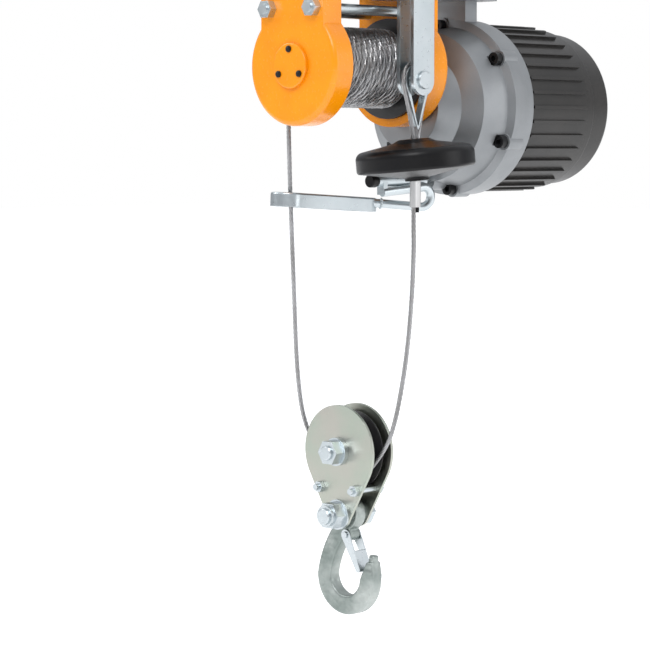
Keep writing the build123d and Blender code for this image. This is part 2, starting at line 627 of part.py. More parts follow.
# ---- Limit lever ------------------------------------------------------------------------
PIN_START = CHEEK_LEFT + 110
with BuildPart() as pivot_shaft:
    ring(across(PIN_START, 0, PIVOT_Z), LUG_START + 14 - PIN_START, PIVOT_R)
pieces["pivot_shaft"] = pivot_shaft
CAP_LENGTH = 9.0
with BuildPart() as pivot_cap:
    ring(across(PIN_START - 1, 0, PIVOT_Z), CAP_LENGTH, LEVER_TUBE_R + 0.5)
    fillet(pivot_cap.edges().filter_by(GeomType.CIRCLE), 1.5)
    ring(across(PIN_START, 0, PIVOT_Z), CAP_LENGTH, PIVOT_R, mode=Mode.SUBTRACT)
pieces["pivot_cap"] = pivot_cap

TUBE_START = PIN_START + CAP_LENGTH
TUBE_END = LUG_START - 6
ROD_POINTS = [
    (-10.0, 24.5, -211.5),
    (42.0, -8.0, -217.0),
    (42.0, -8.4, -195.0),
    (-25.0, -3.0, -200.5),
]
ROD_RADII = [9.8, 9.8]
PAD_TOP = PIVOT_Z - 2
PLUNGER_X = CASE_START + 8
PLUNGER_Y = 16.0
with BuildPart() as limit_lever:
    with BuildLine() as rod_path:
        FilletPolyline(*ROD_POINTS, radius=ROD_RADII)
    with BuildSketch(Plane(origin=rod_path.line @ 0, z_dir=rod_path.line % 0)):
        Circle(LEVER_ROD_R)
    sweep(path=rod_path.line)
    ring(across(TUBE_START, 0, PIVOT_Z), TUBE_END - TUBE_START, LEVER_TUBE_R)
    bar((-26, -6, -203), (-20, 3, PIVOT_Z))
    bar((PLUNGER_X - 7, 0, PAD_TOP - 3), (PLUNGER_X + 7, PLUNGER_Y + 4, PAD_TOP))
    ring(across(TUBE_START, 0, PIVOT_Z), TUBE_END - TUBE_START, PIVOT_R + RUNNING_GAP, mode=Mode.SUBTRACT)
pieces["limit_lever"] = limit_lever

GUIDE_X = -67.0
GUIDE_Y = 37.5
GUIDE_Z = -217.0
lean = radians(GUIDE_TILT)
guide_base = Plane(
    origin=(GUIDE_X, GUIDE_Y, GUIDE_Z),
    x_dir=(cos(lean), 0, -sin(lean)),
    z_dir=(sin(lean), 0, cos(lean)),
)
with BuildPart() as rope_guide:
    with BuildSketch(guide_base):
        SlotOverall(GUIDE_LENGTH, GUIDE_WIDTH)
    extrude(amount=GUIDE_DEPTH)
    fillet(rope_guide.faces().sort_by(Axis.Z)[-1].edges(), 2)
    lips = 2 * GUIDE_WALL
    with BuildSketch(guide_base):
        SlotOverall(GUIDE_LENGTH - lips, GUIDE_WIDTH - lips)
        SlotOverall(GUIDE_SLOT_LENGTH + lips, GUIDE_SLOT_WIDTH + lips, mode=Mode.SUBTRACT)
    extrude(amount=GUIDE_DEPTH - GUIDE_WALL, mode=Mode.SUBTRACT)
    with BuildSketch(guide_base):
        SlotOverall(GUIDE_SLOT_LENGTH, GUIDE_SLOT_WIDTH)
    extrude(amount=GUIDE_DEPTH, mode=Mode.SUBTRACT)
pieces["rope_guide"] = rope_guide

SWITCH_BOTTOM = PIVOT_Z + 11
with BuildPart() as limit_switch:
    bar((PLUNGER_X - 8, 8, SWITCH_BOTTOM), (PLUNGER_X + 8, 28, SWITCH_BOTTOM + 28))
    fillet(limit_switch.edges().filter_by(Axis.Z), 2)
    case_steps = [(CASE_START + x, r) for x, r in GEARCASE_RADII]
    lathe([(CASE_START, 0)] + case_steps + [(FLANGE_START, 0)], 0, MOTOR_Z, Mode.SUBTRACT)
    switch_bottom = Plane(origin=(PLUNGER_X, PLUNGER_Y, SWITCH_BOTTOM), z_dir=(0, 0, 1))
    ring(switch_bottom, 14, PLUNGER_R + RUNNING_GAP, mode=Mode.SUBTRACT)
pieces["limit_switch"] = limit_switch
PLUNGER_BOTTOM = PAD_TOP + 0.5
with BuildPart() as switch_plunger:
    plunger_base = Plane(origin=(PLUNGER_X, PLUNGER_Y, PLUNGER_BOTTOM))
    ring(plunger_base, SWITCH_BOTTOM + 5 - PLUNGER_BOTTOM, PLUNGER_R)
    fillet(switch_plunger.faces().sort_by(Axis.Z)[0].edges(), PLUNGER_R - 0.1)
pieces["switch_plunger"] = switch_plunger

# ---- Rope anchor ------------------------------------------------------------------------
EYE_Z = -90.0
EAR_WIDTH = 30.0
EAR_Y = (ANCHOR_Y - EAR_GAP / 2 - EAR_THICK, ANCHOR_Y + EAR_GAP / 2)
with BuildPart() as anchor_bracket:
    bar(
        (ANCHOR_X - EAR_WIDTH / 2, EAR_Y[0], -PLATE_THICK - 5),
        (ANCHOR_X + EAR_WIDTH / 2, -18, -PLATE_THICK),
    )
    for y in EAR_Y:
        with BuildSketch(Plane(origin=(ANCHOR_X, y, EYE_Z), x_dir=(-1, 0, 0), z_dir=(0, 1, 0))):
            Circle(EAR_WIDTH / 2)
            with Locations((0, (-PLATE_THICK - EYE_Z) / 2)):
                Rectangle(EAR_WIDTH, -PLATE_THICK - EYE_Z)
        extrude(amount=EAR_THICK)
    pin_hole = Plane(origin=(ANCHOR_X, EAR_Y[0], EYE_Z), z_dir=(0, 1, 0))
    ring(pin_hole, EAR_GAP + 2 * EAR_THICK, ANCHOR_PIN_R, mode=Mode.SUBTRACT)
pieces["anchor_bracket"] = anchor_bracket
with BuildPart() as anchor_pin:
    ring(pin_hole.offset(-3), 3, ANCHOR_PIN_R + 3)
    ring(pin_hole, EAR_GAP + 2 * EAR_THICK + 4, ANCHOR_PIN_R)
    chamfer(anchor_pin.faces().sort_by(Axis.Y)[0].edges(), 0.8)
pieces["anchor_pin"] = anchor_pin

FERRULE_TOP = -188.0
FERRULE_BOTTOM = FERRULE_TOP - FERRULE_LENGTH
STRAND_HALF = 2.5
LIVE_X = ANCHOR_X - STRAND_HALF
EYE_POINT = -143.0
eye_route = [
    (LIVE_X, ANCHOR_Y, FERRULE_TOP),
    (LIVE_X, ANCHOR_Y, EYE_POINT),
    (ANCHOR_X - EYE_R, ANCHOR_Y, EYE_Z - 12),
    (ANCHOR_X - EYE_R, ANCHOR_Y, EYE_Z + EYE_R),
    (ANCHOR_X + EYE_R, ANCHOR_Y, EYE_Z + EYE_R),
    (ANCHOR_X + EYE_R, ANCHOR_Y, EYE_Z - 12),
    (ANCHOR_X + STRAND_HALF, ANCHOR_Y, EYE_POINT),
    (ANCHOR_X + STRAND_HALF, ANCHOR_Y, FERRULE_TOP),
]
eye_radii = [40.0, 30.0, EYE_R - 0.2, EYE_R - 0.2, 30.0, 40.0]
with BuildPart() as rope_eye:
    with BuildLine() as eye_path:
        FilletPolyline(*eye_route, radius=eye_radii)
    with BuildSketch(Plane(origin=eye_path.line @ 0, z_dir=eye_path.line % 0)):
        Circle(ROPE_R)
    sweep(path=eye_path.line)
pieces["rope_eye"] = rope_eye


def teardrop(inset):
    """The outline inside the rope eye, moved in by inset from the rope's centreline."""
    with BuildSketch(mode=Mode.PRIVATE) as outline:
        with Locations((0, EYE_Z)):
            Circle(EYE_R - inset)
        with Locations((0, EYE_POINT + 6 + inset)):
            Circle(1.0)
        make_hull()
    return outline.sketch


thimble_plane = Plane(origin=(ANCHOR_X, ANCHOR_Y, 0), x_dir=(1, 0, 0), z_dir=(0, -1, 0))
THIMBLE_LIP = 1.2
with BuildPart() as thimble:
    for side in (-1, 1):
        with BuildSketch(thimble_plane.offset(side * (ROPE_R + CLEAR + THIMBLE_LIP / 2) - THIMBLE_LIP / 2)):
            add(teardrop(0))
            add(teardrop(ROPE_R + CLEAR + THIMBLE_LIP), mode=Mode.SUBTRACT)
        extrude(amount=THIMBLE_LIP)
    with BuildSketch(thimble_plane.offset(-ROPE_R - CLEAR)):
        add(teardrop(ROPE_R + 0.05))
        add(teardrop(ROPE_R + CLEAR + THIMBLE_LIP), mode=Mode.SUBTRACT)
    extrude(amount=2 * (ROPE_R + CLEAR))
pieces["thimble"] = thimble

tilt = radians(DISC_TILT)
DISC_Z = -167.0
disc_axis = (-sin(tilt) * 0.743, sin(tilt) * 0.669, cos(tilt))
disc_plane = Plane(origin=(ANCHOR_X, ANCHOR_Y, DISC_Z), x_dir=(0.669, 0.743, 0), z_dir=disc_axis)
disc_section = Plane(origin=disc_plane.origin, x_dir=disc_plane.x_dir, z_dir=-disc_plane.y_dir)
with BuildPart() as stop_disc:
    with BuildSketch(disc_section):
        with BuildLine():
            FilletPolyline(
                (7.5, 20), (15, 20), (22, 16.5), (DISC_R, DISC_RIM / 2), (DISC_R, -DISC_RIM / 2),
                (12, -18), (12, -21), (7.5, -21),
                radius=[1.5, 8, 8, 8, 3, 1, 0.8, 1.5],
                close=True,
            )
        make_face()
    revolve(axis=Axis(disc_plane.origin, disc_plane.z_dir))
pieces["stop_disc"] = stop_disc

with BuildPart() as ferrule:
    with BuildSketch(Plane(origin=(ANCHOR_X, ANCHOR_Y, FERRULE_BOTTOM))):
        SlotOverall(FERRULE_WIDTH, FERRULE_THICK)
        with Locations((-STRAND_HALF, 0), (STRAND_HALF, 0)):
            Circle(ROPE_R, mode=Mode.SUBTRACT)
    extrude(amount=FERRULE_LENGTH)
pieces["ferrule"] = ferrule
with BuildPart() as rope_tail:
    tail_end = Plane(origin=(ANCHOR_X + STRAND_HALF, ANCHOR_Y, FERRULE_BOTTOM - 5))
    ring(tail_end, 5 + FERRULE_LENGTH / 2, ROPE_R)
pieces["rope_tail"] = rope_tail

# ---- Rope falls, from the drum round the sheave to the ferrule --------------------------
FALL_Y = ROPE_LAY_R + CLEAR
SHEAVE_BOTTOM = BLOCK_Z - SHEAVE_LAY_R
FALL_POINTS = [
    (FALL_X, FALL_Y, DRUM_Z),
    (-118.5, 36.2, -132.0),
    (-116.0, 36.6, -194.0),
    (-110.5, 39.0, -256.0),
    (-103.8, 42.6, -316.0),
    (-97.0, 46.4, -374.0),
    (-87.0, 49.2, -422.0),
    (-80.5, 40.6, -450.1),
    (-80.0, 3.75, -487.0),
    (-80.0, -22.75, -487.0),
    (-79.5, -59.6, -450.1),
    (-76.0, -70.0, -418.0),
    (-67.5, -75.0, -362.0),
    (-58.5, -73.5, -307.0),
    (-50.0, -68.6, -256.0),
    (-45.5, -64.0, -232.0),
    (LIVE_X, ANCHOR_Y, FERRULE_BOTTOM),
]


def largest_radii(points):
    """One radius for each corner: 0.45 of its shorter run over the tangent of half the turn."""
    radii = []
    for before, corner, after in zip(points, points[1:], points[2:]):
        run_in = Vector(*corner) - Vector(*before)
        run_out = Vector(*after) - Vector(*corner)
        half_turn = radians(run_in.get_angle(run_out)) / 2
        radii.append(0.45 * min(run_in.length, run_out.length) / tan(half_turn))
    return radii


FALL_RADII = largest_radii(FALL_POINTS)
with BuildPart() as rope_falls:
    with BuildLine() as fall_path:
        FilletPolyline(*FALL_POINTS, radius=FALL_RADII)
    with BuildSketch(Plane(origin=fall_path.line @ 0, z_dir=fall_path.line % 0)):
        Circle(ROPE_R)
    sweep(path=fall_path.line)
pieces["rope_falls"] = rope_falls
FALL_LENGTH = sum(edge.length for edge in fall_path.edges())
print("rope fall radii:", [round(r, 1) for r in FALL_RADII])
print("rope fall length:", round(FALL_LENGTH, 1))
print("tube volume over section times length:", rope_falls.part.volume / (pi * ROPE_R**2 * FALL_LENGTH))

# ---- Bottom block -----------------------------------------------------------------------
PLATE_OUTER = SIDE_PLATE_HALF_GAP + SIDE_PLATE_THICK
GUARD_SPOTS = [(-GUARD_PIN_Y, -GUARD_PIN_DROP), (GUARD_PIN_Y, -GUARD_PIN_DROP)]


def side_plate(start):
    """One drop-shaped side plate of the bottom block."""
    with BuildSketch(across(start, BLOCK_Y, BLOCK_Z)) as outline:
        Circle(SIDE_PLATE_TOP_R)
        with Locations((0, -BOLT_DISTANCE)):
            Circle(SIDE_PLATE_BOTTOM_R)
        make_hull()
        Circle(AXLE_R + 0.05, mode=Mode.SUBTRACT)
        with Locations((0, -BOLT_DISTANCE)):
            Circle(HOOK_BOLT_R + 0.05, mode=Mode.SUBTRACT)
        with Locations(*GUARD_SPOTS):
            Circle(GUARD_PIN_R, mode=Mode.SUBTRACT)
    extrude(outline.sketch, amount=SIDE_PLATE_THICK)


with BuildPart() as block_plate_left:
    side_plate(BLOCK_X - PLATE_OUTER)
pieces["block_plate_left"] = block_plate_left
with BuildPart() as block_plate_right:
    side_plate(BLOCK_X + SIDE_PLATE_HALF_GAP)
pieces["block_plate_right"] = block_plate_right

AXLE_NUT = 11.0
HOOK_NUT = 13.0
WASHER = 2.5
with BuildPart() as axle_bolt:
    thread_end = BLOCK_X - PLATE_OUTER - 2 * WASHER - AXLE_NUT - 3
    ring(across(thread_end, BLOCK_Y, BLOCK_Z), 2 * PLATE_OUTER + 19, AXLE_R)
    hex_prism(across(BLOCK_X + PLATE_OUTER, BLOCK_Y, BLOCK_Z), 9, 22, AXLE_R - 1)
    chamfer(axle_bolt.faces().sort_by(Axis.X)[0].edges(), 1)
pieces["axle_bolt"] = axle_bolt
with BuildPart() as hook_bolt:
    thread_end = BLOCK_X - PLATE_OUTER - WASHER - HOOK_NUT - 7
    ring(across(thread_end, BLOCK_Y, HOOK_Z), 2 * PLATE_OUTER + 22.5, HOOK_BOLT_R)
    hex_prism(across(BLOCK_X + PLATE_OUTER, BLOCK_Y, HOOK_Z), 10, 24, HOOK_BOLT_R - 1)
    chamfer(hook_bolt.faces().sort_by(Axis.X)[0].edges(), 1)
pieces["hook_bolt"] = hook_bolt
with BuildPart() as block_washers:
    for i in (1, 2):
        ring(across(BLOCK_X - PLATE_OUTER - i * WASHER, BLOCK_Y, BLOCK_Z), WASHER - 0.05, 14, AXLE_R)
    ring(across(BLOCK_X - PLATE_OUTER - WASHER, BLOCK_Y, HOOK_Z), WASHER, 15, HOOK_BOLT_R)
pieces["block_washers"] = block_washers


def left_of(x, z):
    """The plane square to X at (x, z) on the block that extrudes to -X."""
    return Plane(origin=(x, BLOCK_Y, z), x_dir=(0, 1, 0), z_dir=(-1, 0, 0))


with BuildPart() as axle_nut:
    hex_prism(left_of(BLOCK_X - PLATE_OUTER - 2 * WASHER, BLOCK_Z), AXLE_NUT, 22, AXLE_R)
pieces["axle_nut"] = axle_nut
with BuildPart() as hook_nut:
    hex_prism(left_of(BLOCK_X - PLATE_OUTER - WASHER, HOOK_Z), HOOK_NUT, 24, HOOK_BOLT_R, crown=4)
pieces["hook_nut"] = hook_nut
with BuildPart() as guard_pins:
    for y, z in GUARD_SPOTS:
        ring(across(BLOCK_X - PLATE_OUTER - 9, BLOCK_Y + y, BLOCK_Z + z), 2 * PLATE_OUTER + 16, GUARD_PIN_R)
pieces["guard_pins"] = guard_pins
with BuildPart() as guard_nuts:
    for y, z in GUARD_SPOTS:
        hex_prism(across(BLOCK_X - PLATE_OUTER - 5, BLOCK_Y + y, BLOCK_Z + z), 5, 10, GUARD_PIN_R)
        hex_prism(across(BLOCK_X + PLATE_OUTER, BLOCK_Y + y, BLOCK_Z + z), 5, 10, GUARD_PIN_R)
pieces["guard_nuts"] = guard_nuts
with BuildPart() as hook_spacers:
    spacer = SIDE_PLATE_HALF_GAP - HOOK_THICK / 2 - CLEAR
    ring(across(BLOCK_X - SIDE_PLATE_HALF_GAP, BLOCK_Y, HOOK_Z), spacer, 12, HOOK_BOLT_R)
    ring(across(BLOCK_X + SIDE_PLATE_HALF_GAP - spacer, BLOCK_Y, HOOK_Z), spacer, 12, HOOK_BOLT_R)
pieces["hook_spacers"] = hook_spacers

GROOVE_R = SHEAVE_LAY_R - ROPE_R - CLEAR
RIM_EDGE = 8.0
with BuildPart() as sheave:
    lathe(
        [
            (BLOCK_X - SHEAVE_HALF_WIDTH, AXLE_R + RUNNING_GAP), (BLOCK_X - SHEAVE_HALF_WIDTH, 13),
            (BLOCK_X - RIM_EDGE, 13), (BLOCK_X - RIM_EDGE, SHEAVE_R), (BLOCK_X - RIM_EDGE + 1.5, SHEAVE_R),
            (BLOCK_X - 3.0, GROOVE_R + 1.5), (BLOCK_X - 1.8, GROOVE_R), (BLOCK_X + 1.8, GROOVE_R),
            (BLOCK_X + 3.0, GROOVE_R + 1.5),
            (BLOCK_X + RIM_EDGE - 1.5, SHEAVE_R),
            (BLOCK_X + RIM_EDGE, SHEAVE_R),
            (BLOCK_X + RIM_EDGE, 13), (BLOCK_X + SHEAVE_HALF_WIDTH, 13),
            (BLOCK_X + SHEAVE_HALF_WIDTH, AXLE_R + RUNNING_GAP),
        ],
        BLOCK_Y,
        BLOCK_Z,
    )
    with BuildSketch(across(BLOCK_X - RIM_EDGE, BLOCK_Y, BLOCK_Z)):
        with PolarLocations(20, 6):
            Circle(3.5)
    extrude(amount=2 * RIM_EDGE, mode=Mode.SUBTRACT)
pieces["sheave"] = sheave

# ---- Hook and latch ---------------------------------------------------------------------
LATCH_Y = BLOCK_Y - 3.0
LATCH_Z = HOOK_Z - 21.0
with BuildPart() as hook:
    with BuildSketch(across(BLOCK_X - HOOK_THICK / 2, BLOCK_Y, HOOK_Z)):
        with BuildLine():
            neck = ThreePointArc((12, -10), (25.5, -30), (37, -63.5))
            bottom = ThreePointArc(neck @ 1, (-0.8, -101.3), (-38.6, -63.5))
            tip_back = ThreePointArc(bottom @ 1, (-38.2, -54), (-36.5, -45))
            tip_top = Line(tip_back @ 1, (-30, -45.5))
            tip_inner = ThreePointArc(tip_top @ 1, (-25, -55), (-21, -64))
            bowl = ThreePointArc(tip_inner @ 1, (-1, -82.5), (19, -62.5))
            back = ThreePointArc(bowl @ 1, (13.5, -44.5), (-1, -23))
            Polyline(back @ 1, (-8, -12), (12, -10))
        make_face()
        Circle(HOOK_EYE_R)
        with Locations((LATCH_Y - BLOCK_Y, LATCH_Z - HOOK_Z)):
            Circle(6.5)
    extrude(amount=HOOK_THICK)
    eye = across(BLOCK_X - HOOK_THICK / 2, BLOCK_Y, HOOK_Z)
    ring(eye, HOOK_THICK, HOOK_BOLT_R + RUNNING_GAP, mode=Mode.SUBTRACT)
    ring(across(BLOCK_X - HOOK_THICK / 2, LATCH_Y, LATCH_Z), HOOK_THICK, LATCH_PIN_R, mode=Mode.SUBTRACT)
pieces["hook"] = hook

LATCH_HALF = HOOK_THICK / 2 + CLEAR + LATCH_WALL
LATCH_TIP = (-20.2, -54.0)
with BuildPart() as latch_pin:
    ring(across(BLOCK_X - LATCH_HALF - 1.2, LATCH_Y, LATCH_Z), 2 * LATCH_HALF + 2.4, LATCH_PIN_R)
    ring(across(BLOCK_X - LATCH_HALF - 1.8, LATCH_Y, LATCH_Z), 1.5, LATCH_PIN_R + 1.3)
    ring(across(BLOCK_X + LATCH_HALF + CLEAR, LATCH_Y, LATCH_Z), 1.5, LATCH_PIN_R + 1.3)
pieces["latch_pin"] = latch_pin


with BuildPart() as latch:
    with BuildSketch(across(BLOCK_X - LATCH_HALF, BLOCK_Y, HOOK_Z)):
        with Locations((LATCH_Y - BLOCK_Y, LATCH_Z - HOOK_Z)):
            Circle(5.5)
        with Locations(LATCH_TIP):
            Circle(2.8)
        make_hull()
    extrude(amount=2 * LATCH_HALF)
    inside = across(BLOCK_X - LATCH_HALF + LATCH_WALL, BLOCK_Y, HOOK_Z)
    with BuildSketch(inside):
        with Locations((LATCH_Y - BLOCK_Y + 1.1, LATCH_Z - HOOK_Z + 0.5)):
            Circle(5.5)
        with Locations((LATCH_TIP[0] + 1.1, LATCH_TIP[1] - 4)):
            Circle(2.8)
        make_hull()
        with Locations((0, LATCH_Z - HOOK_Z + 10)):
            Rectangle(40, 50)
    extrude(amount=2 * (LATCH_HALF - LATCH_WALL), mode=Mode.SUBTRACT)
    pin_hole = across(BLOCK_X - LATCH_HALF, LATCH_Y, LATCH_Z)
    ring(pin_hole, 2 * LATCH_HALF, LATCH_PIN_R + RUNNING_GAP, mode=Mode.SUBTRACT)
pieces["latch"] = latch

# ---- Export -----------------------------------------------------------------------------
os.makedirs("parts", exist_ok=True)
for label, piece in pieces.items():
    piece.part.label = label
    export_step(piece.part, f"parts/{label}.step")
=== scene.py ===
"""Looks of an electric wire rope hoist: finishes, laid wire rope, forged hook, studio and camera.

The hoist is one assembly of four groups: the frame with its cheeks, gearcase and motor, the rope drum,
the limit lever, and the bottom block with its hook. Sizes are in metres.
"""

import json
import logging
import math
from dataclasses import dataclass
from enum import Enum

import bpy
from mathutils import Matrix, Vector


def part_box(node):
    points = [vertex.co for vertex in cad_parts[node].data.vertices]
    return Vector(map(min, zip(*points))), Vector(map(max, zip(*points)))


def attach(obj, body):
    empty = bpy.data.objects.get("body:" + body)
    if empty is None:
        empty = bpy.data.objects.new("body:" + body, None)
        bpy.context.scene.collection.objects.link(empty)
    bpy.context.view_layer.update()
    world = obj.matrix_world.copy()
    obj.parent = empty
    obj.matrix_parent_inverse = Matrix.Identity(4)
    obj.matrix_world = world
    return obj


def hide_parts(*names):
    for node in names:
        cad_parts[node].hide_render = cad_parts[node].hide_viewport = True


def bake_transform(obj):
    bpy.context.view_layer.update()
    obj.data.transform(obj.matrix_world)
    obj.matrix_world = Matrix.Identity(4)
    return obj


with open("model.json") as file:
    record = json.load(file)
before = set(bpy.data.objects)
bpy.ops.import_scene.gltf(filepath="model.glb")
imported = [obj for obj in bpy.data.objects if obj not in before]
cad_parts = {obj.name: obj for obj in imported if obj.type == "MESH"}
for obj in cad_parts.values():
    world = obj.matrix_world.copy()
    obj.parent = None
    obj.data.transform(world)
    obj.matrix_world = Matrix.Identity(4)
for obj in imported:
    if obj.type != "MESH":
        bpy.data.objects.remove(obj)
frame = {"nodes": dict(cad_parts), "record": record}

log = logging.getLogger("hoist")
logging.basicConfig(level=logging.INFO, format="%(name)s: %(message)s")

Colour = tuple[float, float, float]
Point = tuple[float, float, float]

MM = 0.001
PATCH_SCALE = 28.0
COAT_ROUGHNESS = 0.12
SOFT_EDGE = 0.5 * MM
ROPE_DIAMETER = 4.5 * MM
FALL_ROUTE: list[Point] = [
    (-0.118, 0.0378, -0.077),
    (-0.1185, 0.0362, -0.132),
    (-0.116, 0.0366, -0.194),
    (-0.1105, 0.039, -0.256),
    (-0.1038, 0.0426, -0.316),
    (-0.097, 0.0464, -0.374),
    (-0.087, 0.0492, -0.422),
    (-0.0805, 0.0406, -0.4501),
    (-0.08, 0.00375, -0.487),
    (-0.08, -0.02275, -0.487),
    (-0.0795, -0.0596, -0.4501),
    (-0.076, -0.07, -0.418),
    (-0.0675, -0.075, -0.362),
    (-0.0585, -0.0735, -0.307),
    (-0.05, -0.0686, -0.256),
    (-0.0455, -0.064, -0.232),
    (-0.0445, -0.063, -0.214),
]


class Grain(Enum):
    """How the fine surface of a finish is broken up."""

    CAST = "cast"
    ROLLED = "rolled"
    MOULDED = "moulded"
    LAID = "laid"


@dataclass(frozen=True)
class Finish:
    """One procedural finish.

    Args:
        name: The material's name.
        colour: Main colour, linear RGB.
        second: Colour of the worn, dusty or tinted patches; on the forged zinc the lighter patches are partly
            painted highlight.
        metallic: 0 for paint, rubber and plastic, 1 for bare metal.
        roughness: Middle of the roughness range.
        spread: Half of the roughness range.
        grain: The kind of fine relief.
        relief: Height of the fine relief, in metres.
        scale: Size of the fine relief, as noise cells to a metre.
        patch: Strength of the second colour.
        coat: Weight of a clear coat.
        level: Strength of the plain reflection.
    """

    name: str
    colour: Colour
    second: Colour
    metallic: float
    roughness: float
    spread: float
    grain: Grain
    relief: float
    scale: float
    patch: float = 0.5
    coat: float = 0.0
    level: float = 0.5

    def build(self) -> bpy.types.Material:
        """Makes the node tree.

        Returns:
            The finished material, on Object coordinates throughout.
        """
        material = bpy.data.materials.new(self.name)
        material.use_nodes = True
        tree = material.node_tree
        shader = tree.nodes["Principled BSDF"]
        shader.inputs["Metallic"].default_value = self.metallic
        shader.inputs["Coat Weight"].default_value = self.coat
        shader.inputs["Coat Roughness"].default_value = COAT_ROUGHNESS
        shader.inputs["Specular IOR Level"].default_value = self.level
        place = tree.nodes.new("ShaderNodeTexCoord")
        patches = self._noise(tree, place, PATCH_SCALE, 6.0)
        fine = self._noise(tree, place, self.scale, 4.0)
        self._colour(tree, shader, patches)
        self._roughness(tree, shader, fine)
        self._relief(tree, shader, place, fine)
        return material

    def _noise(
        self, tree: bpy.types.NodeTree, place: bpy.types.Node, scale: float, detail: float
    ) -> bpy.types.Node:
        noise = tree.nodes.new("ShaderNodeTexNoise")
        noise.inputs["Scale"].default_value = scale
        noise.inputs["Detail"].default_value = detail
        tree.links.new(place.outputs["Object"], noise.inputs["Vector"])
        return noise

    def _colour(self, tree: bpy.types.NodeTree, shader: bpy.types.Node, patches: bpy.types.Node) -> None:
        ramp = tree.nodes.new("ShaderNodeValToRGB")
        ramp.color_ramp.elements[0].position = 0.35
        ramp.color_ramp.elements[1].position = 0.75
        blended = [a + (b - a) * self.patch for a, b in zip(self.colour, self.second)]
        ramp.color_ramp.elements[0].color = (*self.colour, 1)
        ramp.color_ramp.elements[1].color = (*blended, 1)
        tree.links.new(patches.outputs["Fac"], ramp.inputs["Fac"])
        tree.links.new(ramp.outputs["Color"], shader.inputs["Base Color"])

    def _roughness(self, tree: bpy.types.NodeTree, shader: bpy.types.Node, fine: bpy.types.Node) -> None:
        spread = tree.nodes.new("ShaderNodeMapRange")
        spread.inputs["To Min"].default_value = max(0.05, self.roughness - self.spread)
        spread.inputs["To Max"].default_value = self.roughness + self.spread
        tree.links.new(fine.outputs["Fac"], spread.inputs["Value"])
        tree.links.new(spread.outputs["Result"], shader.inputs["Roughness"])

    def _relief(
        self, tree: bpy.types.NodeTree, shader: bpy.types.Node, place: bpy.types.Node, fine: bpy.types.Node
    ) -> None:
        height = fine.outputs["Fac"]
        if self.grain is Grain.CAST:
            pores = tree.nodes.new("ShaderNodeTexVoronoi")
            pores.inputs["Scale"].default_value = self.scale * 0.6
            tree.links.new(place.outputs["Object"], pores.inputs["Vector"])
            height = pores.outputs["Distance"]
        if self.grain is Grain.ROLLED:
            stretch = tree.nodes.new("ShaderNodeMapping")
            stretch.inputs["Scale"].default_value = (1, 1, 0.08)
            lines = self._noise(tree, place, self.scale, 3.0)
            tree.links.new(place.outputs["Object"], stretch.inputs["Vector"])
            tree.links.new(stretch.outputs["Vector"], lines.inputs["Vector"])
            height = lines.outputs["Fac"]
        if self.grain is Grain.LAID:
            lay = tree.nodes.new("ShaderNodeTexWave")
            lay.wave_type = "BANDS"
            lay.bands_direction = "DIAGONAL"
            lay.inputs["Scale"].default_value = self.scale
            tree.links.new(place.outputs["Object"], lay.inputs["Vector"])
            height = lay.outputs["Fac"]
        edge = tree.nodes.new("ShaderNodeBevel")
        edge.inputs["Radius"].default_value = SOFT_EDGE
        bump = tree.nodes.new("ShaderNodeBump")
        bump.inputs["Distance"].default_value = self.relief
        bump.inputs["Strength"].default_value = 0.6
        tree.links.new(edge.outputs["Normal"], bump.inputs["Normal"])
        tree.links.new(height, bump.inputs["Height"])
        tree.links.new(bump.outputs["Normal"], shader.inputs["Normal"])


